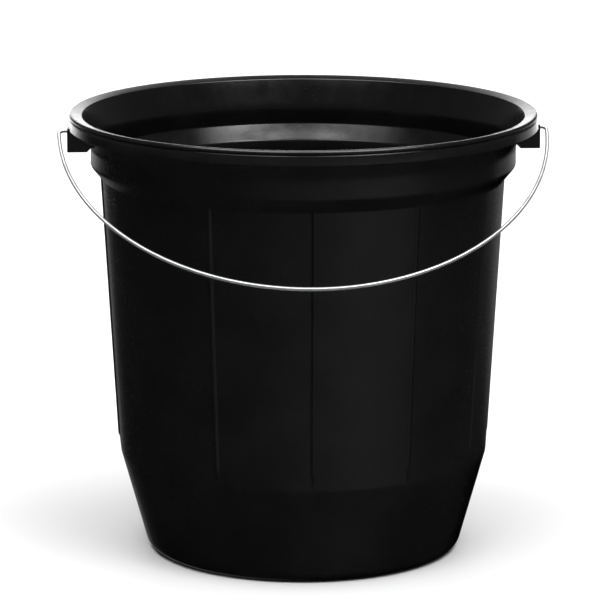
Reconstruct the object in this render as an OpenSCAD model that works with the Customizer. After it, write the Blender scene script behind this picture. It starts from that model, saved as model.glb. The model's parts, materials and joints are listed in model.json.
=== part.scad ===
// Moulded bucket with a stepped rim, a stacking shoulder, ribbed walls and a swinging wire bail.
// Millimetres. The bucket stands on z = 0 with its axis on Z, and its two ears lie on the X axis.

/* [Bucket] */
// Diameter across the outside of the rim
rim_d = 300; // [296:1:304]
// Height from the ground to the crest of the rim
height = 284; // [260:1:300]
// Diameter across the outside of the upright band below the rim
band_d = 270.8; // [268:0.2:273]
// Diameter across the outside of the side wall, where it meets the shoulder
wall_top_d = 257; // [255:0.5:259]
// Diameter across the outside of the kink low in the wall
kink_d = 236.4; // [232:0.4:240]
// Diameter that the lower wall would have if it ran on down to the ground
base_d = 200.6; // [196:0.4:206]
// Thickness of the moulded wall
wall_t = 1.8; // [1.6:0.1:2.1]

/* [Levels] */
// Height of the kink in the wall
kink_h = 64; // [58:1:70]
// Height of the sloping shoulder above the side wall
shoulder_h = 8.8; // [8:0.2:11]
// Height of the upright band above the shoulder
band_h = 13.2; // [11:0.2:16]
// Height from the band, where the flare starts, to the crest of the rim
rim_h = 20; // [19:0.2:22]
// How far the skirt hangs below the crest of the rim
skirt_drop = 9.8; // [9:0.1:10.4]

/* [Base] */
// Height of the foot ring, which lifts the floor of the bucket
foot_h = 3; // [2:0.25:4]
// Diameter inside the foot ring
foot_in_d = 168; // [160:1:172]
// Radius of the corner between the foot and the lower wall
corner_r = 9; // [7:0.5:10]

/* [Wall ribs] */
// Number of upright ribs, spaced evenly round the wall
rib_count = 12; // [8:2:16]
// Radius of the round face of a rib
rib_r = 2; // [1.8:0.1:2.4]
// How far a rib stands out of the wall
rib_proud = 1.1; // [0.8:0.1:1.3]
// Height of the lower end of the ribs
rib_low = 71; // [70:1:90]

/* [Ears] */
// Width of an ear, along the rim
ear_w = 26; // [22:1:30]
// How far the outer face of an ear stands outside the rim
ear_proud = 0.6; // [0.5:0.1:1.4]
// Thickness of the outer plate of an ear
ear_plate_t = 2.2; // [2:0.1:2.4]
// Thickness of the side webs of an ear
ear_web_t = 2; // [1.6:0.1:2.4]
// How far the lower edge of an ear lies below the crest of the rim
ear_drop = 23.6; // [22:0.2:26]
// Size of the bevel at the lower inner corner of an ear's webs
ear_web_cut = 2.4; // [1.5:0.1:3.5]
// Diameter of the boss behind an ear's plate, round the pivot hole
boss_d = 8.4; // [7.4:0.2:9]
// How far that boss stands behind the plate
boss_t = 1.7; // [1.6:0.1:2.2]

/* [Bail] */
// Diameter of the bail wire
wire_d = 2.4; // [2:0.1:2.6]
// Gap between the bail's arc and the outside of the rim, to the middle of the wire
bail_gap = 5.8; // [5.4:0.1:7]
// How far the pivot axis lies below the crest of the rim
pivot_drop = 11.8; // [11.6:0.1:12.4]
// Inside radius of the bend where the wire turns into an ear
bend_r = 2; // [1.6:0.1:2.4]
// Angle of the bail below level as it hangs at the front
bail_tilt = 29.2; // [20:0.2:31]
// Clearance all round the wire in the hole of an ear
hole_gap = 0.3; // [0.2:0.05:0.4]
// Diameter of the peened head that keeps the wire in the ear
head_d = 4.8; // [4.4:0.1:5.4]
// Thickness of the peened head
head_t = 1.4; // [1.2:0.1:1.8]

/* [Hidden] */
$fn = 96;
arc_steps = 8;          // straight steps in each rounded corner of the section
big = 400;              // larger than the bucket in every direction
over = 1;               // how far a cutting shape runs past the faces that it cuts
rim_r = rim_d / 2;
band_r = band_d / 2;
wall_top_r = wall_top_d / 2;
kink_r = kink_d / 2;
base_r = base_d / 2;
foot_in_r = foot_in_d / 2;
flare_low = height - rim_h;
shoulder_high = flare_low - band_h;
shoulder_low = shoulder_high - shoulder_h;
skirt_low = height - skirt_drop;
ear_low = height - ear_drop;
pivot_h = height - pivot_drop;
skirt_in_r = rim_r - wall_t;
ear_out_r = rim_r + ear_proud;
lip_slope = 15;         // angle at which the top of the rim falls inward
lip_in = 8.8;           // how far inside the rim's outer face the flare begins
bead_r = 1.9;           // radius of the bead along the rim's crest
bead_in = 0.3;          // how far inside the rim's outer face the bead's own outer face lies
line_in = 1.6;          // depth of the parting line below the bead
line_fall = 2.5;        // drop from the crest to the bottom of the parting line
line_h = 0.4;           // height of the parting line
skirt_fall = 3.8;       // drop from the crest to the skirt's upper corner
skirt_draft = 0.6;      // how far the skirt leans inward, from its lower edge to its upper corner
under_in = 6.1;         // how far inside the rim's outer face the hollow under the rim begins
under_fall = 3;         // drop from the crest to the inner end of that hollow's roof
under_rise = 0.8;       // rise of the roof from there towards the skirt
under_slope = 1.2;      // width of the slope between the roof and the skirt
under_slope_h = 1.8;    // height of that slope
flare_in_rise = 0.5;    // how far the flare starts higher on the inside than on the outside
shoulder_pad = 1.8;     // how far the shoulder's inner corner is raised above an even wall's
floor_lap = 2;          // width of the floor that is counted with the foot ring
foot_slope = 0.8;       // run of the foot's inner slope for each unit of its height
foot_inset = 1;         // how far the floor's step lies outside the foot's
rib_taper = 3;          // length of the tapered lower end of a rib
rib_tip_share = 0.8;    // share of a rib's height that its tapered end loses
ear_web_in = 5;         // how far inside the band's outer face the webs of an ear start
ear_web_lap = 1;        // how far the webs reach into the plate
ear_web_top = 1;        // how far below the crest of the rim the webs end
ear_pad_h = 1.4;        // height of the ear's plate above the lower edge of the skirt
head_gap = 0.3;         // play between the peened head and the boss of the ear
joint_lap = 0.01;       // how far the bends of the wire stand proud of it, where they lap its ends
lap_angle = 1;          // angle that each bend of the wire runs on past its ends
bead_out_r = rim_r - bead_in;
ear_high = skirt_low + ear_pad_h;
ear_meet_r = rim_r - skirt_draft * ear_pad_h / (skirt_drop - skirt_fall);
wire_r = wire_d / 2;
bail_r = rim_r + bail_gap;
bend_mid_r = bend_r + wire_r;
shell_colour = [0.06, 0.06, 0.065];
wire_colour = [0.72, 0.73, 0.74];

// Slopes of the three inclined stretches of the wall, from upright
lower_slope = atan((kink_r - base_r) / kink_h);
side_slope = atan((wall_top_r - kink_r) / (shoulder_low - kink_h));
shoulder_slope = atan((band_r - wall_top_r) / (shoulder_high - shoulder_low));

// How far a corner between two stretches with slopes a and b moves when both move in by t
function corner_shift(a, b, t) = let(m = (a + b) / 2, k = t / cos((b - a) / 2)) [-k * cos(m), k * sin(m)];
shift_band = corner_shift(0, shoulder_slope, wall_t);
shift_wall = corner_shift(shoulder_slope, side_slope, wall_t);
shift_kink = corner_shift(side_slope, lower_slope, wall_t);
shift_base = corner_shift(lower_slope, 90, wall_t);

// Height of the sharp corner inside the bead's curve, for which the curve just reaches the crest
bead_corner = height - bead_r + bead_r / cos(lip_slope) + bead_r * tan(lip_slope);

// The outside of the section from the floor's underside to the skirt, as [radius, height, rounding]
dry_side = [
    [0, foot_h, 0],
    [foot_in_r, foot_h, 1],
    [foot_in_r + foot_h * foot_slope, 0, 1],
    [base_r, 0, corner_r],
    [kink_r, kink_h, 12],
    [wall_top_r, shoulder_low, 1.2],
    [band_r, shoulder_high, 3],
    [band_r, flare_low, 12],
    [rim_r - under_in, height - under_fall, 1.5],
    [skirt_in_r - under_slope, height - under_fall + under_rise, 1],
    [skirt_in_r, height - under_fall + under_rise - under_slope_h, 1],
    [skirt_in_r, skirt_low, 0.4]
];

// The inside of the section, from the skirt's outer face over the rim and down to the floor's top
wet_side = [
    [rim_r, skirt_low, 0.6],
    [rim_r - skirt_draft, height - skirt_fall, 2.4],
    [rim_r - line_in, height - line_fall, 0.15],
    [bead_out_r, height - line_fall + line_h, 0],
    [bead_out_r, bead_corner, bead_r],
    [rim_r - lip_in, bead_corner - (lip_in - bead_in) * tan(lip_slope), 0.8],
    [band_r - wall_t, flare_low + flare_in_rise, 14],
    [band_r + shift_band[0], shoulder_high + shift_band[1] + shoulder_pad, 1.5],
    [wall_top_r + shift_wall[0], shoulder_low + shift_wall[1], 3],
    [kink_r + shift_kink[0], kink_h + shift_kink[1], 10],
    [base_r + shift_base[0], shift_base[1], corner_r - wall_t],
    [foot_in_r + foot_h * foot_slope + foot_inset, wall_t, 1],
    [foot_in_r + foot_inset, foot_h + wall_t, 1],
    [0, foot_h + wall_t, 0]
];

// Angle of the line from point a to point b
function heading(a, b) = atan2(b[1] - a[1], b[0] - a[0]);

// Arc of radius b[2] that rounds the corner at b between the lines from a and to c
function corner_arc(a, b, c) =
    let(
        h0 = heading(a, b),
        turn = ((heading(b, c) - h0 + 540) % 360) - 180,
        cut = b[2] * tan(abs(turn) / 2),
        side = sign(turn),
        start = [b[0] - cut * cos(h0), b[1] - cut * sin(h0)],
        centre = [start[0] - side * b[2] * sin(h0), start[1] + side * b[2] * cos(h0)]
    )
    [for (i = [0:arc_steps])
        let(g = h0 + turn * i / arc_steps)
        [centre[0] + side * b[2] * sin(g), centre[1] - side * b[2] * cos(g)]];

// A closed outline with every corner rounded by its own third value
function rounded(p) =
    let(n = len(p))
    [for (i = [0:n - 1])
        each (p[i][2] == 0 ? [[p[i][0], p[i][1]]] : corner_arc(p[(i + n - 1) % n], p[i], p[(i + 1) % n]))];

// Radius of the outside of the side wall at height z
function wall_r_at(z) = kink_r + (z - kink_h) * tan(side_slope);

// Section of the whole moulding
module shell_section() {
    polygon(rounded(concat(dry_side, wet_side)));
}

// The moulding between two heights and two radii
module shell_slice(z_low, z_high, r_min = 0, r_max = big) {
    rotate_extrude()
        intersection() {
            shell_section();
            translate([r_min, z_low]) square([r_max - r_min, z_high - z_low]);
        }
}

module rim() {
    color(shell_colour) shell_slice(flare_low, big);
}

module shoulder_band() {
    color(shell_colour) shell_slice(shoulder_low, flare_low);
}

module side_wall() {
    color(shell_colour) shell_slice(kink_h, shoulder_low);
}

module lower_wall() {
    color(shell_colour) shell_slice(corner_r, kink_h);
}

module foot_ring() {
    color(shell_colour) shell_slice(-over, corner_r, foot_in_r - floor_lap);
}

module base_floor() {
    color(shell_colour) shell_slice(-over, corner_r, 0, foot_in_r - floor_lap);
}

// All that an ear keeps out of: the inside of the moulding's outer face, and the space above the ear
module envelope() {
    above = [
        [rim_r, skirt_low, 0],
        [ear_meet_r, ear_high, 0],
        [big, ear_high, 0],
        [big, big, 0],
        [0, big, 0]
    ];
    rotate_extrude() polygon(rounded(concat(dry_side, above)));
}

// One rib on the +X side: the part of a sloping rod that is outside the wall and below the shoulder
module rib() {
    rod_length = (shoulder_low + 2 * rib_r - rib_low) / cos(side_slope);
    tip_r = rib_r - rib_tip_share * rib_proud;
    outer_r = band_r + rib_r;
    intersection() {
        translate([wall_r_at(rib_low) + rib_proud - rib_r, 0, rib_low])
            rotate([0, side_slope, 0]) {
                cylinder(r1 = tip_r, r2 = rib_r, h = rib_taper);
                translate([0, 0, rib_taper]) cylinder(r = rib_r, h = rod_length - rib_taper);
            }
        rotate([90, 0, 0])
            linear_extrude(height = 4 * rib_r, center = true)
                polygon([
                    [kink_r, kink_h],
                    [wall_top_r, shoulder_low],
                    [band_r, shoulder_high],
                    [outer_r, shoulder_high],
                    [outer_r, kink_h]
                ]);
    }
}

module wall_ribs() {
    color(shell_colour)
        for (i = [0:rib_count - 1])
            rotate([0, 0, i * 360 / rib_count + 90]) rib();
}

// An ear on the +X side: an outer plate with a bossed pivot hole, and two webs that reach in to the band
module ear() {
    plate_in = ear_out_r - ear_plate_t;
    web_in = band_r - ear_web_in;
    web_out = plate_in + ear_web_lap;
    web_high = height - ear_web_top;
    difference() {
        union() {
            translate([plate_in, -ear_w / 2, ear_low])
                cube([ear_plate_t, ear_w, ear_high - ear_low]);
            for (side = [0, 1])
                mirror([0, side, 0])
                    translate([0, ear_w / 2, 0])
                        rotate([90, 0, 0])
                            linear_extrude(height = ear_web_t)
                                polygon([
                                    [web_in, ear_low + ear_web_cut + ear_web_in],
                                    [band_r + ear_web_cut, ear_low],
                                    [web_out, ear_low],
                                    [web_out, web_high],
                                    [web_in, web_high]
                                ]);
            translate([plate_in - boss_t, 0, pivot_h])
                rotate([0, 90, 0]) cylinder(r = boss_d / 2, h = boss_t + ear_plate_t / 2);
        }
        envelope();
        translate([plate_in - boss_t - over, 0, pivot_h])
            rotate([0, 90, 0]) cylinder(r = wire_r + hole_gap, h = boss_t + ear_plate_t + 2 * over);
    }
}

module ear_right() {
    color(shell_colour) ear();
}

module ear_left() {
    color(shell_colour) rotate([0, 0, 180]) ear();
}

// The end of the bail on the +X side, lying in the XY plane: bend, straight stub and peened head
module bail_end() {
    bend_x = sqrt(pow(bail_r - bend_mid_r, 2) - pow(bend_mid_r, 2));
    bend_angle = asin(bend_mid_r / (bail_r - bend_mid_r));
    head_x = ear_out_r - ear_plate_t - boss_t - head_gap - head_t;
    stub_x = head_x + head_t / 2;
    translate([bend_x, -bend_mid_r, 0])
        rotate([0, 0, -bend_angle - lap_angle])
            rotate_extrude(angle = 90 + bend_angle + 2 * lap_angle, $fn = 48)
                translate([bend_mid_r, 0]) circle(r = wire_r + joint_lap, $fn = 24);
    translate([stub_x, 0, 0])
        rotate([0, 90, 0]) cylinder(r = wire_r, h = bend_x - stub_x, $fn = 24);
    translate([head_x, 0, 0])
        rotate([0, 90, 0]) cylinder(r = head_d / 2, h = head_t, $fn = 32);
}

// The bail hangs at the front: an arc that runs outside the rim, turned down about the pivot axis
module bail_wire() {
    arc_start = asin(bend_mid_r / (bail_r - bend_mid_r));
    color(wire_colour)
        translate([0, 0, pivot_h])
            rotate([bail_tilt, 0, 0]) {
                rotate([0, 0, 180 + arc_start])
                    rotate_extrude(angle = 180 - 2 * arc_start, $fn = 180)
                        translate([bail_r, 0]) circle(r = wire_r, $fn = 24);
                bail_end();
                mirror([1, 0, 0]) bail_end();
            }
}

rim();
shoulder_band();
side_wall();
wall_ribs();
lower_wall();
foot_ring();
base_floor();
ear_left();
ear_right();
bail_wire();
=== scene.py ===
import json
import math

import bmesh
import bpy
import numpy as np
from mathutils import Matrix, Vector


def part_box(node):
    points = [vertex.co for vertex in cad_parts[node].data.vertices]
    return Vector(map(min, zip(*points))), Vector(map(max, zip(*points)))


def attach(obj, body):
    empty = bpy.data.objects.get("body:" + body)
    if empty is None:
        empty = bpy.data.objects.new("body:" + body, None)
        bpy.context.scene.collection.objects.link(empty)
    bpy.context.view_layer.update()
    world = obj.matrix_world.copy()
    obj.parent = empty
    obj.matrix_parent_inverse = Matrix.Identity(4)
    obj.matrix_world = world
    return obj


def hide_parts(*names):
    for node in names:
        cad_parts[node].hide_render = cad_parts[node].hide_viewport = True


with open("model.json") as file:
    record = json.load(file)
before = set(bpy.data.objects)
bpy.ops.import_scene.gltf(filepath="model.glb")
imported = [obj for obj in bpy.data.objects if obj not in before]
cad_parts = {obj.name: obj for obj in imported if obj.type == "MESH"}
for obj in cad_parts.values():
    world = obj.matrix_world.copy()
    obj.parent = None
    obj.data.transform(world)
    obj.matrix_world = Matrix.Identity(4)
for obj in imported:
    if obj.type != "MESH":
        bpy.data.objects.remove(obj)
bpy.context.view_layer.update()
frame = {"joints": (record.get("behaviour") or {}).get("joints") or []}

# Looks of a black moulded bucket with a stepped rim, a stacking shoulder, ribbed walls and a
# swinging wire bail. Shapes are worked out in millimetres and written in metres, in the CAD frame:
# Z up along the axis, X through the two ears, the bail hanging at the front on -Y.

MM = 0.001


# ---------------------------------------------------------------- sizes taken from the CAD frame

def node_box(node):
    """Lowest and highest corner of a CAD node, in millimetres."""
    low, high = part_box(node)
    return low / MM, high / MM


RIM_LOW, RIM_HIGH = node_box("rim")
BAND_LOW, BAND_HIGH = node_box("shoulder_band")
WALL_LOW, _ = node_box("side_wall")
LOWER_LOW, _ = node_box("lower_wall")
_, FLOOR_HIGH = node_box("base_floor")
EAR_LOW, EAR_HIGH = node_box("ear_right")
_, BAIL_HIGH = node_box("bail_wire")
PIVOT_H = frame["joints"][0]["pos_m"][2] / MM

HEIGHT = RIM_HIGH.z
BAND_R = BAND_HIGH.x
FLARE_LOW = RIM_LOW.z
SHOULDER_LOW = BAND_LOW.z
KINK_H = WALL_LOW.z
CORNER_R = LOWER_LOW.z
EAR_OUT_R = EAR_HIGH.x
EAR_W = EAR_HIGH.y - EAR_LOW.y
EAR_BOTTOM = EAR_LOW.z

# ---------------------------------------------------------------- sizes that the boxes don't show

WALL_T = 1.8
SHOULDER_HIGH = 250.8
SHOULDER_PAD = 1.8
WALL_TOP_R = 128.5
KINK_R = 118.2
BASE_R = 100.3
FOOT_IN_R = 84.0
FOOT_H = FLOOR_HIGH.z - WALL_T
FOOT_SLOPE = 0.8        # run of the foot's inner slope for each unit of its height
FOOT_INSET = 1.0        # how much further out the step in the floor lies on its top than underneath
FLARE_IN_RISE = 0.5     # how far the flare starts higher on the inside than on the outside

EAR_PROUD = 0.6         # how far an ear's plate stands out beyond the rim
RIM_R = EAR_OUT_R - EAR_PROUD
SKIRT_LOW = HEIGHT - 9.8
SKIRT_TOP = HEIGHT - 3.8
SKIRT_IN_R = RIM_R - WALL_T
SKIRT_DRAFT = 0.6       # how far the skirt leans inward on its way up
LINE_R = RIM_R - 1.6    # the bottom of the parting line below the bead
LINE_LOW = HEIGHT - 2.5
LINE_HIGH = HEIGHT - 2.1
UNDER_R = RIM_R - 6.1   # the inner end of the roof of the hollow under the rim
UNDER_LOW = HEIGHT - 3.0
UNDER_HIGH = HEIGHT - 2.2
UNDER_SLOPE = 1.2       # width and height of the slope between that roof and the skirt
UNDER_SLOPE_H = 1.8
BEAD_R = 1.9
BEAD_OUT_R = RIM_R - 0.3
LIP_IN_R = RIM_R - 8.8
LIP_SLOPE = math.radians(15)

RIB_COUNT = 12
RIB_PROUD = 1.1
RIB_LOW = 71.0
RIB_TAPER_LOW = RIB_LOW - 1.0
RIB_TAPER_HIGH = RIB_LOW + 3.0
RIB_FROM = RIB_LOW - 3.0
RIB_TO = SHOULDER_HIGH - 2.0    # the wall is reshaped for its ribs between these two heights
RIB_FALL = 0.34         # how fast a rib's round face falls off beside its middle
RIB_FOOT = 1.9          # how far a rib sinks into the wall below its foot
RIB_BLEND = 0.35        # width of the fillet beside a rib
NIB_PROUD = 0.3
NIB_W = 0.8
NIB_H = 0.9
NIB_RISE = 0.4          # how far a nib's middle is above the shoulder
GATE_R = 8.2            # the gate's mark under the floor: a shallow round recess and a pip in its middle
GATE_EDGE = 1.2
GATE_DEPTH = 0.5
PIP_R = 1.9
PIP_EDGE = 0.6
PIP_H = 1.3

EAR_PAD_H = 1.4         # how far an ear's plate runs up over the skirt
EAR_TOP = SKIRT_LOW + EAR_PAD_H
EAR_PLATE_T = 2.2
EAR_WEB_T = 2.0
PLATE_ROUND = 0.4
WEB_ROUND = 0.3
EAR_CUT = 2.4           # how far outside the band the bevel of a web's corner starts
BOSS_D = 8.4
BOSS_T = 1.7

WIRE_R = 1.2
WIRE_SIDES = 20
HOLE_GAP = 0.3
HOLE_R = WIRE_R + HOLE_GAP
BEND_R = 2.0
BAIL_R = BAIL_HIGH.x - WIRE_R
BAIL_TILT = math.radians(29.2)
HEAD_R = 2.4
HEAD_T = 1.4
HEAD_GAP = 0.3
STUB_IN_X = EAR_OUT_R - EAR_PLATE_T - BOSS_T - HEAD_GAP

# ---------------------------------------------------------------- how fine the meshes are

ARC_TURN = math.radians(11)     # the most that an arc of the section turns in one step
ARC_STEP = 1.2                  # an arc's longest step
FINE_STEP = 0.9                 # the longest straight step where ribs and nibs end
COARSE_STEP = 7.0               # the longest straight step elsewhere
LAST_STEP = 0.4                 # a straight stretch is not divided nearer than this to its end
FINE_ZONES = [(RIB_LOW - 3.0, RIB_LOW + 6.0), (SHOULDER_LOW - 4.0, SHOULDER_HIGH + 2.5)]
ON_SURFACE = 0.5                # a point this near the outside counts as on it
SAME_POINT = 1e-6
BEND_STEPS = 14
BAIL_STEPS = 200

# ---------------------------------------------------------------- colours, studio and camera

PLASTIC_DARK = (0.0039, 0.0039, 0.0040)
PLASTIC_LIGHT = (0.0053, 0.0053, 0.0054)
PLASTIC_WORN = (0.030, 0.030, 0.031)
PLASTIC_ROUGHNESS = 0.20
PLASTIC_SPECULAR = 0.50
WIRE_BRIGHT = (0.72, 0.73, 0.74)
WIRE_DULL = (0.55, 0.56, 0.57)
WIRE_METALLIC = 0.8
WIRE_ROUGHNESS = (0.28, 0.36)   # where the spangle is bright and where it is dull
FLOOR_COLOUR = (0.86, 0.86, 0.86)
FLOOR_SHADE = tuple(c * 0.985 for c in FLOOR_COLOUR)
FLOOR_ROUGHNESS = 0.7
FLOOR_SPECULAR = 0.1
FLOOR_R = 7.0
FLOOR_DROP = 0.0002     # keeps the floor just under the foot

# The studio is a sum of parts, and each part is (round the compass, up and down): two curves of
# (degrees, value) that multiply. Round the compass, 0 is in front on -Y and 90 is on +X. Up and
# down, 0 is the horizon and 90 is overhead.
ALL_ROUND = [(-180, 1.0), (180, 1.0)]
STUDIO = {
    "walls": (ALL_ROUND, [(-1, 0.0), (1, 0.10), (25, 0.08), (35, 0.04), (56, 0.04), (62, 0.0)]),
    "ceiling": (ALL_ROUND, [(57, 0.0), (62, 2.6), (76, 3.3), (90, 3.8)]),
    "backdrop": ([(-180, 2.1), (-172, 2.1), (-164, 0.0), (164, 0.0), (172, 2.1), (180, 2.1)],
                 [(-2, 0.0), (0, 1.0), (14, 1.0), (18, 0.7), (22, 0.3), (28, 0.13), (45, 0.0)]),
    "table edge": ([(-180, 3.0), (-156, 2.6), (-149, 1.4), (-141, 0.25), (-132, 0.0), (118, 0.0), (138, 0.4),
                    (147, 0.8), (153, 1.3), (159, 2.2), (166, 4.0), (180, 4.5)],
                   [(-9.4, 0.0), (-8.4, 1.0), (0, 1.0), (3, 0.0)]),
    "front strips": ([(-75, 0.0), (-60, 0.15), (-40, 0.3), (-18, 0.5), (-6, 0.1), (6, 0.1), (18, 0.5),
                      (42, 1.0), (60, 0.4), (75, 0.0)],
                     [(44, 0.0), (46.5, 13.0), (51, 13.0), (53, 0.0)]),
    "front lamps": ([(-130, 0.0), (-100, 0.8), (-60, 0.8), (-35, 1.3), (-18, 1.3), (-6, 0.3), (6, 0.3),
                     (18, 1.3), (40, 1.6), (60, 0.8), (100, 0.8), (130, 0.0)],
                    [(58, 0.0), (61, 7.0), (68, 7.0), (72, 0.0)]),
    "ground": ([(-180, 0.24), (-168, 0.16), (-156, 0.03), (-140, 0.01), (-76, 0.0), (-36, 0.03), (0, 0.10),
                (36, 0.19), (52, 0.15), (80, 0.03), (120, 0.02), (150, 0.0), (180, 0.0)],
               [(-80, 0.0), (-45, 0.3), (-20, 0.95), (-13, 1.1), (-11, 1.35), (-1, 1.5), (1, 0.0)]),
    "table on the right": ([(116, 0.0), (132, 0.06), (140, 0.11), (150, 0.17), (180, 0.20)],
                           [(-15.5, 0.0), (-12.5, 1.0), (-1, 1.0), (1, 0.0)]),
}

CAMERA_AT = (-0.13436, -2.48581, 0.69492)
CAMERA_AIM = (-0.00211, 0.00011, 0.16037)
CAMERA_LENS = 237.1


# ---------------------------------------------------------------- the section of the moulding

LOWER_SLOPE = math.atan((KINK_R - BASE_R) / KINK_H)
SIDE_SLOPE = math.atan((WALL_TOP_R - KINK_R) / (SHOULDER_LOW - KINK_H))
SHOULDER_SLOPE = math.atan((BAND_R - WALL_TOP_R) / (SHOULDER_HIGH - SHOULDER_LOW))
BEAD_CORNER = HEIGHT - BEAD_R + BEAD_R / math.cos(LIP_SLOPE) + BEAD_R * math.tan(LIP_SLOPE)


def shifted(radius, height, slope_a, slope_b):
    """The inside corner one wall thickness in from an outside corner between two slopes."""
    mean = (slope_a + slope_b) / 2
    reach = WALL_T / math.cos((slope_b - slope_a) / 2)
    return radius - reach * math.cos(mean), height + reach * math.sin(mean)


def wall_r_at(height):
    """Radius of the outside of the side wall."""
    return KINK_R + (height - KINK_H) * math.tan(SIDE_SLOPE)


band_in_r, band_in_h = shifted(BAND_R, SHOULDER_HIGH, 0.0, SHOULDER_SLOPE)

# Each corner is (radius, height, rounding)
DRY_SIDE = [
    (0.0, FOOT_H, 0),
    (FOOT_IN_R, FOOT_H, 1.0),
    (FOOT_IN_R + FOOT_H * FOOT_SLOPE, 0.0, 1.0),
    (BASE_R, 0.0, CORNER_R),
    (KINK_R, KINK_H, 12.0),
    (WALL_TOP_R, SHOULDER_LOW, 1.2),
    (BAND_R, SHOULDER_HIGH, 3.0),
    (BAND_R, FLARE_LOW, 12.0),
    (UNDER_R, UNDER_LOW, 1.5),
    (SKIRT_IN_R - UNDER_SLOPE, UNDER_HIGH, 1.0),
    (SKIRT_IN_R, UNDER_HIGH - UNDER_SLOPE_H, 1.0),
    (SKIRT_IN_R, SKIRT_LOW, 0.4),
]
WET_SIDE = [
    (RIM_R, SKIRT_LOW, 0.8),
    (RIM_R - SKIRT_DRAFT, SKIRT_TOP, 2.4),
    (LINE_R, LINE_LOW, 0.15),
    (BEAD_OUT_R, LINE_HIGH, 0),
    (BEAD_OUT_R, BEAD_CORNER, BEAD_R),
    (LIP_IN_R, BEAD_CORNER - (BEAD_OUT_R - LIP_IN_R) * math.tan(LIP_SLOPE), 0.8),
    (BAND_R - WALL_T, FLARE_LOW + FLARE_IN_RISE, 14.0),
    (band_in_r, band_in_h + SHOULDER_PAD, 1.5),
    (*shifted(WALL_TOP_R, SHOULDER_LOW, SHOULDER_SLOPE, SIDE_SLOPE), 3.0),
    (*shifted(KINK_R, KINK_H, SIDE_SLOPE, LOWER_SLOPE), 10.0),
    (*shifted(BASE_R, 0.0, LOWER_SLOPE, math.pi / 2), CORNER_R - WALL_T),
    (FOOT_IN_R + FOOT_H * FOOT_SLOPE + FOOT_INSET, WALL_T, 1.0),
    (FOOT_IN_R + FOOT_INSET, FOOT_H + WALL_T, 1.0),
    (0.0, FOOT_H + WALL_T, 0),
]


def corner_arc(before, corner, after):
    """Points of the arc that rounds a corner of the section."""
    (ax, az), (bx, bz), (cx, cz), radius = before[:2], corner[:2], after[:2], corner[2]
    if not radius:
        return [(bx, bz)]
    first = math.atan2(bz - az, bx - ax)
    turn = (math.atan2(cz - bz, cx - bx) - first + 3 * math.pi) % (2 * math.pi) - math.pi
    cut, side = radius * math.tan(abs(turn) / 2), math.copysign(1.0, turn)
    centre_x = bx - cut * math.cos(first) - side * radius * math.sin(first)
    centre_z = bz - cut * math.sin(first) + side * radius * math.cos(first)
    steps = max(3, math.ceil(abs(turn) / ARC_TURN), math.ceil(abs(turn) * radius / ARC_STEP))
    angles = [first + turn * i / steps for i in range(steps + 1)]
    return [(centre_x + side * radius * math.sin(a), centre_z - side * radius * math.cos(a)) for a in angles]


def longest_step(radius, height):
    """The longest straight step allowed in the section: short on the outside where ribs and nibs end."""
    outer_r = BAND_R if height > SHOULDER_HIGH else wall_r_at(height)
    outside = radius > outer_r - ON_SURFACE
    in_zone = any(low < height < high for low, high in FINE_ZONES)
    return FINE_STEP if outside and in_zone else COARSE_STEP


def outline(corners):
    """The rounded section as one array of points, from the axis round to the axis."""
    points = []
    for i, corner in enumerate(corners):
        points += corner_arc(corners[i - 1], corner, corners[(i + 1) % len(corners)])
    fine = [points[0]]
    for (r0, z0), (r1, z1) in zip(points, points[1:]):
        length = math.hypot(r1 - r0, z1 - z0)
        if length < SAME_POINT:
            continue
        r, z, done = r0, z0, longest_step(r0, z0)
        while done < length - LAST_STEP:
            r, z = r0 + (r1 - r0) * done / length, z0 + (z1 - z0) * done / length
            fine.append((r, z))
            done += longest_step(r, z)
        fine.append((r1, z1))
    return np.array(fine)


# ---------------------------------------------------------------- helpers for meshes

def smooth_step(value, low, high):
    t = np.clip((value - low) / (high - low), 0, 1)
    return t * t * (3 - 2 * t)


def smooth_max(a, b, width):
    """The larger of two values, with a fillet of about that width where they cross."""
    share = np.clip(0.5 + 0.5 * (a - b) / width, 0, 1)
    return b + (a - b) * share + width * share * (1 - share)


def new_object(name, mesh, material, body, replaced):
    """Makes an object of a mesh, gives it its material and ties it to the CAD frame."""
    obj = bpy.data.objects.new(name, mesh)
    bpy.context.scene.collection.objects.link(obj)
    mesh.materials.clear()
    mesh.materials.append(material)
    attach(obj, body)
    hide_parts(*replaced)
    return obj


# ---------------------------------------------------------------- the moulding

def mesh_columns():
    """Angles of the mesh's columns, close together across each rib."""
    on_rib = [0.17, 0.34, 0.51, 0.67, 0.82, 0.98, 1.25]
    between = [1.8, 3.2, 5.2, 7.2, 9.2, 11.2, 13.1]
    half = on_rib + between
    pitch = 360 / RIB_COUNT
    sector = [-a for a in reversed(half)] + [0.0] + half + [pitch / 2]
    return np.radians([i * pitch + a for i in range(RIB_COUNT) for a in sector])


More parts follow.
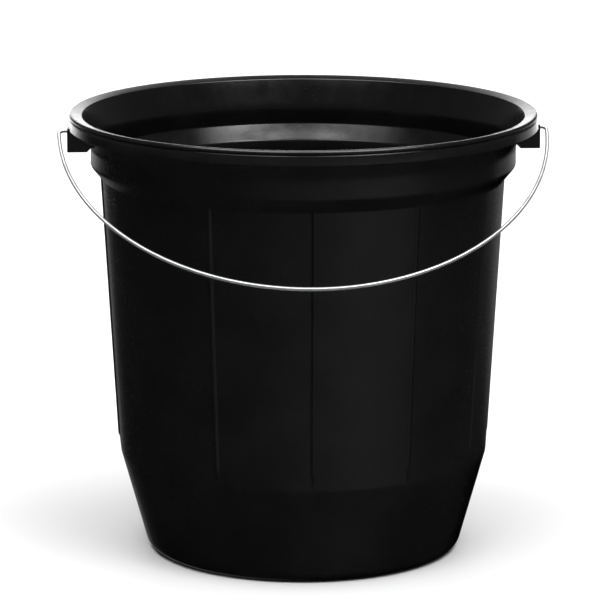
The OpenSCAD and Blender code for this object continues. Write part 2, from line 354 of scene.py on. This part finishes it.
def moulding_mesh():
    """The whole moulding but for its ears: the section turned about Z, with the ribs raised out of it."""
    section = outline(DRY_SIDE + WET_SIDE)
    angles = mesh_columns()
    rows, columns = len(section), len(angles)
    radius = np.repeat(section[:, 0:1], columns, axis=1)
    height = np.repeat(section[:, 1:2], columns, axis=1)
    # The dry side's rows come before the skirt's outer face
    skirt_row = int(np.argmax(section[:, 0] > SKIRT_IN_R + WALL_T / 2))
    outside = np.zeros((rows, 1), bool)
    outside[:skirt_row] = True

    # Ribs: a rounded bead on the side wall that tapers at its foot and runs into the shoulder
    pitch = 2 * math.pi / RIB_COUNT
    off_angle = (angles + pitch / 2) % pitch - pitch / 2
    off_line = off_angle[None, :] * radius
    bead = RIB_PROUD - RIB_FALL * off_line ** 2
    foot = RIB_FOOT * (1 - smooth_step(height, RIB_TAPER_LOW, RIB_TAPER_HIGH))
    ribbed = smooth_max(radius, wall_r_at(height) + bead - foot, RIB_BLEND)
    radius = np.where(outside & (height > RIB_FROM) & (height < RIB_TO), ribbed, radius)

    # Nibs: a small flow mark above each rib, where the shoulder meets the band
    rise = height - SHOULDER_HIGH - NIB_RISE
    nib = NIB_PROUD * np.exp(-(off_line / NIB_W) ** 2 - (rise / NIB_H) ** 2)
    radius = radius + np.where(outside, nib, 0)

    # The gate's mark in the middle of the underside
    under = outside & (radius < FOOT_IN_R / 2)
    recess = GATE_DEPTH * (1 - smooth_step(radius, GATE_R - GATE_EDGE, GATE_R))
    pip = PIP_H * (1 - smooth_step(radius, PIP_R - PIP_EDGE, PIP_R))
    height = np.where(under, height + (recess - pip), height)

    x, y = radius * np.cos(angles), radius * np.sin(angles)
    turned = np.stack([x[1:-1], y[1:-1], height[1:-1]], axis=-1).reshape(-1, 3)
    ends = np.array([[0, 0, height[0, 0]], [0, 0, height[-1, 0]]])
    first_end, last_end = len(turned), len(turned) + 1

    grid = np.arange(len(turned)).reshape(rows - 2, columns)
    beside = np.roll(grid, -1, axis=1)
    faces = np.stack([grid[:-1], beside[:-1], beside[1:], grid[1:]], axis=-1).reshape(-1, 4).tolist()
    faces += [[first_end, b, a] for a, b in zip(grid[0].tolist(), beside[0].tolist())]
    faces += [[last_end, a, b] for a, b in zip(grid[-1].tolist(), beside[-1].tolist())]
    mesh = bpy.data.meshes.new("bucket_moulding")
    mesh.from_pydata((np.concatenate([turned, ends]) * MM).tolist(), [], faces)
    mesh.polygons.foreach_set("use_smooth", [True] * len(mesh.polygons))
    mesh.update()
    return mesh


# ---------------------------------------------------------------- the ears

def rounded_box(low, high, width, segments=3):
    """A box between two corners, in millimetres, with its edges rounded."""
    bm = bmesh.new()
    bmesh.ops.create_cube(bm, size=1.0)
    low, high = Vector(low), Vector(high)
    bmesh.ops.scale(bm, vec=high - low, verts=bm.verts)
    bmesh.ops.translate(bm, vec=(high + low) / 2, verts=bm.verts)
    bmesh.ops.bevel(bm, geom=bm.edges[:], offset=width, segments=segments, profile=0.5, affect="EDGES")
    return bm


def turned_solid(profile, segments):
    """A closed (radius, height) profile turned about Z; the first and last points are on the axis."""
    bm = bmesh.new()
    rings = []
    for r, z in profile[1:-1]:
        angles = [2 * math.pi * i / segments for i in range(segments)]
        rings.append([bm.verts.new((r * math.cos(a), r * math.sin(a), z)) for a in angles])
    first, last = bm.verts.new((0, 0, profile[0][1])), bm.verts.new((0, 0, profile[-1][1]))
    for low, high in zip(rings, rings[1:]):
        for i in range(segments):
            j = (i + 1) % segments
            bm.faces.new((low[i], low[j], high[j], high[i]))
    for i in range(segments):
        j = (i + 1) % segments
        bm.faces.new((first, rings[0][j], rings[0][i]))
        bm.faces.new((last, rings[-1][i], rings[-1][j]))
    bm.normal_update()
    return bm


def turned_on_pivot(profile, segments):
    """A turned solid whose axis is the pivot's, with height 0 of its profile on the plate's inner face."""
    bm = turned_solid(profile, segments)
    bmesh.ops.rotate(bm, matrix=Matrix.Rotation(math.radians(90), 3, "Y"), verts=bm.verts)
    bmesh.ops.translate(bm, vec=(EAR_OUT_R - EAR_PLATE_T, 0, PIVOT_H), verts=bm.verts)
    return bm


def scratch(name, bm):
    """A temporary object that a boolean works with."""
    mesh = bpy.data.meshes.new(name)
    bm.to_mesh(mesh)
    bm.free()
    obj = bpy.data.objects.new(name, mesh)
    bpy.context.scene.collection.objects.link(obj)
    return obj


def combine(target, tools):
    """Applies booleans (operation, object) to an object in turn, and removes the tools."""
    for operation, tool in tools:
        modifier = target.modifiers.new(operation, "BOOLEAN")
        modifier.operation, modifier.solver, modifier.object = operation, "EXACT", tool
        depsgraph = bpy.context.evaluated_depsgraph_get()
        mesh = bpy.data.meshes.new_from_object(target.evaluated_get(depsgraph))
        target.modifiers.clear()
        target.data = mesh
    for _, tool in tools:
        bpy.data.objects.remove(tool)
    return target


def ear_web(y_low, y_high):
    """One side web of the ear on +X, from inside the wall into the plate, with a bevel below."""
    web_low = (BAND_R - 5.0, y_low, EAR_BOTTOM)
    web_high = (EAR_OUT_R - 1.2, y_high, HEIGHT - 1.0)
    web = rounded_box(web_low, web_high, WEB_ROUND, 2)
    reach = 9
    corner = scratch("corner", rounded_box((-reach, -4, -reach), (reach, 4, reach), 0.02, 1))
    corner.matrix_world = (
        Matrix.Translation((BAND_R + EAR_CUT - reach * math.sqrt(2), (y_low + y_high) / 2, EAR_BOTTOM))
        @ Matrix.Rotation(math.radians(45), 4, "Y")
    )
    return combine(scratch("web", web), [("DIFFERENCE", corner)])


def ear_mesh(side):
    """An ear on the +X side (side 1) or the -X side (side -1)."""
    half = EAR_W / 2
    plate_low = (EAR_OUT_R - EAR_PLATE_T, -half, EAR_BOTTOM)
    plate = scratch("plate", rounded_box(plate_low, (EAR_OUT_R, half, EAR_TOP), PLATE_ROUND))
    boss_r = BOSS_D / 2
    boss = turned_on_pivot([(0, -BOSS_T), (boss_r - 0.5, -BOSS_T), (boss_r - 0.15, -BOSS_T + 0.15),
                            (boss_r, -BOSS_T + 0.5), (boss_r, 1.0), (0, 1.0)], 48)
    mouth = 0.35
    hole_low = -6
    hole_high = 8
    hole = turned_on_pivot([(0, hole_low), (HOLE_R, hole_low), (HOLE_R, EAR_PLATE_T - mouth),
                            (HOLE_R + mouth, EAR_PLATE_T), (HOLE_R + mouth, hole_high), (0, hole_high)], 40)
    meet_r = RIM_R - SKIRT_DRAFT * (EAR_TOP - SKIRT_LOW) / (SKIRT_TOP - SKIRT_LOW)
    far = 400
    above = [(RIM_R, SKIRT_LOW, 0), (meet_r, EAR_TOP, 0), (far, EAR_TOP, 0), (far, far, 0), (0, far, 0)]

    # All that lies inside the moulding's outer face, to cut the ear with; the ear ends this far into the wall
    bury = 0.25
    inside = [(max(r - bury, 0), z) for r, z in outline(DRY_SIDE + above)]
    beside = [(r, z) for r, z in inside if z > EAR_BOTTOM - 12 and r > 20]
    shell = turned_solid([(0, beside[0][1])] + beside + [(0, far)], 720)
    combine(plate, [
        ("UNION", ear_web(half - EAR_WEB_T, half)),
        ("UNION", ear_web(-half, EAR_WEB_T - half)),
        ("UNION", scratch("boss", boss)),
        ("DIFFERENCE", scratch("hole", hole)),
        ("DIFFERENCE", scratch("shell", shell)),
    ])
    mesh = plate.data.copy()
    bpy.data.objects.remove(plate)
    if side < 0:
        mesh.transform(Matrix.Rotation(math.pi, 4, "Z"))
    mesh.transform(Matrix.Scale(MM, 4))
    mesh.update()
    return mesh


# ---------------------------------------------------------------- the bail

def bail_path():
    """Centre line of the wire from one head to the other, flat in the XY plane."""
    middle_r = BEND_R + WIRE_R
    bend_x = math.sqrt((BAIL_R - middle_r) ** 2 - middle_r ** 2)
    bend_angle = math.asin(middle_r / (BAIL_R - middle_r))
    stub = [(STUB_IN_X + (bend_x - STUB_IN_X) * i / 4, 0.0) for i in range(4)]
    bend = []
    for i in range(BEND_STEPS + 1):
        a = math.pi / 2 - (math.pi / 2 + bend_angle) * i / BEND_STEPS
        bend.append((bend_x + middle_r * math.cos(a), -middle_r + middle_r * math.sin(a)))
    arc = []
    for i in range(1, BAIL_STEPS):
        a = -bend_angle - (math.pi - 2 * bend_angle) * i / BAIL_STEPS
        arc.append((BAIL_R * math.cos(a), BAIL_R * math.sin(a)))
    right = stub + bend
    return np.array(right + arc + [(-x, y) for x, y in reversed(right)])


def bail_mesh():
    """The wire swept along its centre line, with a peened head on each end."""
    path = bail_path()
    length = np.concatenate([[0], np.cumsum(np.hypot(*np.diff(path, axis=0).T))])
    tangent = np.gradient(path, axis=0)
    tangent /= np.linalg.norm(tangent, axis=1)[:, None]
    normal = np.stack([-tangent[:, 1], tangent[:, 0]], axis=1)
    around = [2 * math.pi * k / WIRE_SIDES for k in range(WIRE_SIDES)]

    # Rings as (centre, normal, radius, place along the wire); a head is steps of (place, radius)
    head = [(0.0, 0.9), (0.0, 1.7), (0.12, 2.1), (0.4, HEAD_R - 0.04), (0.75, HEAD_R), (1.05, 2.3),
            (1.3, 2.0), (HEAD_T, 1.6), (HEAD_T + 0.06, WIRE_R)]
    start, axis = path[0], tangent[0]
    rings = [(start + axis * (s - HEAD_T), normal[0], r, s - HEAD_T) for s, r in head]
    rings += [(p, n, WIRE_R, s) for p, n, s in zip(path[1:-1], normal[1:-1], length[1:-1])]
    end, axis = path[-1], tangent[-1]
    rings += [(end - axis * (s - HEAD_T), normal[-1], r, length[-1] - s + HEAD_T) for s, r in reversed(head)]

    bm = bmesh.new()
    uv = bm.loops.layers.uv.new("wire")
    loops = []
    for centre, side, radius, _ in rings:
        spots = [(*(centre + side * radius * math.cos(a)), radius * math.sin(a)) for a in around]
        loops.append([bm.verts.new(spot) for spot in spots])
    for i in range(len(rings) - 1):
        for k in range(WIRE_SIDES):
            j = (k + 1) % WIRE_SIDES
            face = bm.faces.new((loops[i][k], loops[i][j], loops[i + 1][j], loops[i + 1][k]))
            for loop, (row, share) in zip(face.loops, ((i, k), (i, k + 1), (i + 1, k + 1), (i + 1, k))):
                loop[uv].uv = (rings[row][3] / length[-1], share / WIRE_SIDES)
    bm.faces.new(list(reversed(loops[0])))
    bm.faces.new(loops[-1])
    bmesh.ops.recalc_face_normals(bm, faces=bm.faces)
    for face in bm.faces:
        face.smooth = True
    mesh = bpy.data.meshes.new("bail")
    bm.to_mesh(mesh)
    bm.free()
    lifted = Matrix.Translation((0, 0, PIVOT_H)) @ Matrix.Rotation(BAIL_TILT, 4, "X")
    mesh.transform(Matrix.Scale(MM, 4) @ lifted)
    mesh.update()
    return mesh


# ---------------------------------------------------------------- materials

class Nodes:
    """Short ways to build the nodes of a material or of the world."""

    def __init__(self, tree):
        self.tree = tree
        self.coords = tree.nodes.new("ShaderNodeTexCoord").outputs

    def put(self, value, socket):
        """Links a socket to a value that is another socket, or sets it to a number or colour."""
        if isinstance(value, bpy.types.NodeSocket):
            self.tree.links.new(value, socket)
        elif isinstance(value, tuple):
            socket.default_value = (*value, 1)
        else:
            socket.default_value = value

    def noise(self, vector, scale, detail=3.0, roughness=0.5, stretch=None):
        if stretch:
            mapping = self.tree.nodes.new("ShaderNodeMapping")
            mapping.inputs["Scale"].default_value = stretch
            self.put(vector, mapping.inputs["Vector"])
            vector = mapping.outputs["Vector"]
        node = self.tree.nodes.new("ShaderNodeTexNoise")
        settings = {"Vector": vector, "Scale": scale, "Detail": detail, "Roughness": roughness}
        for name, value in settings.items():
            self.put(value, node.inputs[name])
        return node.outputs["Fac"]

    def ramp(self, value, low, high, to_low=0.0, to_high=1.0):
        node = self.tree.nodes.new("ShaderNodeMapRange")
        node.interpolation_type = "SMOOTHSTEP"
        for name, number in (("From Min", low), ("From Max", high), ("To Min", to_low), ("To Max", to_high)):
            node.inputs[name].default_value = number
        self.put(value, node.inputs["Value"])
        return node.outputs["Result"]

    def math(self, operation, *values):
        node = self.tree.nodes.new("ShaderNodeMath")
        node.operation = operation
        for socket, value in zip(node.inputs, values):
            self.put(value, socket)
        return node.outputs["Value"]

    def mix(self, share, a, b):
        node = self.tree.nodes.new("ShaderNodeMix")
        node.data_type = "RGBA"
        for name, value in (("Factor", share), ("A", a), ("B", b)):
            self.put(value, node.inputs[name])
        return node.outputs["Result"]

    def bump(self, height, distance, strength, under=None):
        node = self.tree.nodes.new("ShaderNodeBump")
        for name, value in (("Distance", distance), ("Strength", strength), ("Height", height)):
            self.put(value, node.inputs[name])
        if under:
            self.put(under, node.inputs["Normal"])
        return node.outputs["Normal"]

    def curve(self, angle, stops):
        """A smooth curve over an angle, given as (degrees, value) stops between -180 and 180 degrees."""
        node = self.tree.nodes.new("ShaderNodeValToRGB")
        node.color_ramp.interpolation = "EASE"
        highest = max(value for _, value in stops)
        elements = node.color_ramp.elements
        elements[0].position, elements[1].position = stops[0][0] / 360 + 0.5, stops[-1][0] / 360 + 0.5
        for degrees, _ in stops[1:-1]:
            elements.new(degrees / 360 + 0.5)
        for element, (_, value) in zip(elements, stops):
            element.color = (value / highest,) * 3 + (1,)
        self.put(angle, node.inputs["Fac"])
        return self.math("MULTIPLY", node.outputs["Color"], highest)


def new_material(name):
    """A material with nodes, as (material, its nodes, its Principled shader's inputs)."""
    material = bpy.data.materials.new(name)
    material.use_nodes = True
    return material, Nodes(material.node_tree), material.node_tree.nodes["Principled BSDF"].inputs


def moulded_plastic():
    """Black satin polypropylene: fine moulded grain, faint flow streaks, scuffs on the crest and the foot."""
    material, n, shader = new_material("moulded_black_plastic")
    place = n.coords["Object"]
    split = n.tree.nodes.new("ShaderNodeSeparateXYZ")
    n.put(place, split.inputs["Vector"])
    height = split.outputs["Z"]

    grain = n.noise(place, 2600, 2.0, 0.6)
    cloud = n.noise(place, 34, 4.0, 0.6)
    streak = n.noise(place, 26, 3.0, 0.55, stretch=(6, 6, 0.22))
    hairs = n.noise(place, 60, 2.0, 0.5, stretch=(1, 1, 14))
    speck = n.ramp(n.noise(place, 900, 1.0, 0.4), 0.70, 0.76)

    crest = n.ramp(height, (HEIGHT - 0.6) * MM, HEIGHT * MM)
    foot = n.ramp(height, 2.5 * MM, 0.3 * MM)
    patches = n.ramp(n.noise(place, 210, 5.0, 0.65), 0.50, 0.72)
    rubbed = n.math("MULTIPLY", n.math("MAXIMUM", crest, foot), patches)
    base = n.mix(n.ramp(cloud, 0.35, 0.7), PLASTIC_DARK, PLASTIC_LIGHT)
    n.put(n.mix(rubbed, base, PLASTIC_WORN), shader["Base Color"])

    rough = n.math("ADD", n.ramp(cloud, 0.3, 0.72, -0.02, 0.025), n.ramp(streak, 0.3, 0.7, -0.018, 0.018))
    rough = n.math("ADD", rough, n.math("MULTIPLY", speck, 0.12))
    rough = n.math("ADD", rough, n.math("MULTIPLY", rubbed, 0.14))
    n.put(n.math("ADD", rough, PLASTIC_ROUGHNESS), shader["Roughness"])
    shader["Specular IOR Level"].default_value = PLASTIC_SPECULAR

    fine = n.bump(grain, 0.012 * MM, 0.6)
    scuffed = n.bump(n.ramp(hairs, 0.62, 0.7), 0.01 * MM, 0.35, under=fine)
    n.put(n.bump(streak, 0.10 * MM, 0.5, under=scuffed), shader["Normal"])
    return material


def drawn_wire():
    """Bright zinc-plated steel wire: draw lines along it, a faint spangle and duller spots."""
    material, n, shader = new_material("zinc_plated_wire")
    wire = n.tree.nodes.new("ShaderNodeUVMap")
    wire.uv_map = "wire"
    lines = n.noise(wire.outputs["UV"], 1.0, 3.0, 0.6, stretch=(26, 16, 1))
    spangle = n.noise(n.coords["Object"], 700, 3.0, 0.6)
    dull = n.ramp(n.noise(n.coords["Object"], 90, 4.0, 0.6), 0.45, 0.75)
    n.put(n.mix(dull, WIRE_BRIGHT, WIRE_DULL), shader["Base Color"])
    shader["Metallic"].default_value = WIRE_METALLIC
    rough = n.math("ADD", n.ramp(spangle, 0.35, 0.7, *WIRE_ROUGHNESS), n.math("MULTIPLY", dull, 0.10))
    n.put(rough, shader["Roughness"])
    n.put(n.bump(lines, 0.02 * MM, 0.5), shader["Normal"])
    return material


def pale_floor():
    """A matt pale floor with a very faint mottle."""
    material, n, shader = new_material("pale_floor")
    mottle = n.ramp(n.noise(n.coords["Object"], 3, 3.0), 0.3, 0.7)
    n.put(n.mix(mottle, FLOOR_COLOUR, FLOOR_SHADE), shader["Base Color"])
    shader["Roughness"].default_value = FLOOR_ROUGHNESS
    shader["Specular IOR Level"].default_value = FLOOR_SPECULAR
    return material


# ---------------------------------------------------------------- floor, studio and camera

def make_floor():
    """A round floor, which the gloss of the bucket doesn't show."""
    bm = bmesh.new()
    bmesh.ops.create_circle(bm, cap_ends=True, segments=96, radius=FLOOR_R)
    mesh = bpy.data.meshes.new("floor")
    bm.to_mesh(mesh)
    bm.free()
    mesh.materials.append(pale_floor())
    floor = bpy.data.objects.new("floor", mesh)
    floor.location.z = -FLOOR_DROP
    floor.visible_glossy = False
    bpy.context.scene.collection.objects.link(floor)


def make_world():
    """The soft studio, as one environment that depends only on the direction; seen directly, it is white."""
    world = bpy.data.worlds.new("studio")
    bpy.context.scene.world = world
    world.use_nodes = True
    n = Nodes(world.node_tree)
    way = n.tree.nodes.new("ShaderNodeSeparateXYZ")
    n.put(n.coords["Generated"], way.inputs["Vector"])
    turn = n.math("ARCTAN2", way.outputs["X"], n.math("MULTIPLY", way.outputs["Y"], -1.0))
    compass = n.math("ADD", n.math("DIVIDE", turn, 2 * math.pi), 0.5)
    level = n.math("ADD", n.math("DIVIDE", n.math("ARCSINE", way.outputs["Z"]), 2 * math.pi), 0.5)
    total = 0.0
    for across, upward in STUDIO.values():
        total = n.math("ADD", n.math("MULTIPLY", n.curve(compass, across), n.curve(level, upward)), total)
    background = n.tree.nodes["Background"].inputs
    background["Color"].default_value = (1, 1, 1, 1)
    seen = n.tree.nodes.new("ShaderNodeLightPath").outputs["Is Camera Ray"]
    n.put(n.math("MAXIMUM", total, seen), background["Strength"])


def make_camera():
    """The camera: in front, a little to the left and about 12 degrees above the middle of the bucket."""
    data = bpy.data.cameras.new("camera")
    data.sensor_width = 36.0
    data.lens = CAMERA_LENS
    data.clip_start, data.clip_end = 0.05, 60.0
    obj = bpy.data.objects.new("camera", data)
    obj.location = CAMERA_AT
    obj.rotation_mode = "QUATERNION"
    obj.rotation_quaternion = (Vector(CAMERA_AIM) - Vector(CAMERA_AT)).to_track_quat("-Z", "Y")
    bpy.context.scene.collection.objects.link(obj)
    bpy.context.scene.camera = obj


plastic = moulded_plastic()
new_object("bucket_moulding", moulding_mesh(), plastic, "bucket",
           ("rim", "shoulder_band", "side_wall", "wall_ribs", "lower_wall", "foot_ring", "base_floor"))
for side, word in ((1, "right"), (-1, "left")):
    new_object("ear_lug_" + word, ear_mesh(side), plastic, "bucket", ("ear_" + word,))
bail = new_object("bail_handle", bail_mesh(), drawn_wire(), "bail", ("bail_wire",))
bail.visible_glossy = False     # the gloss of the bucket doesn't show the wire

make_floor()
make_world()
make_camera()
bpy.context.scene.view_settings.view_transform = "Standard"
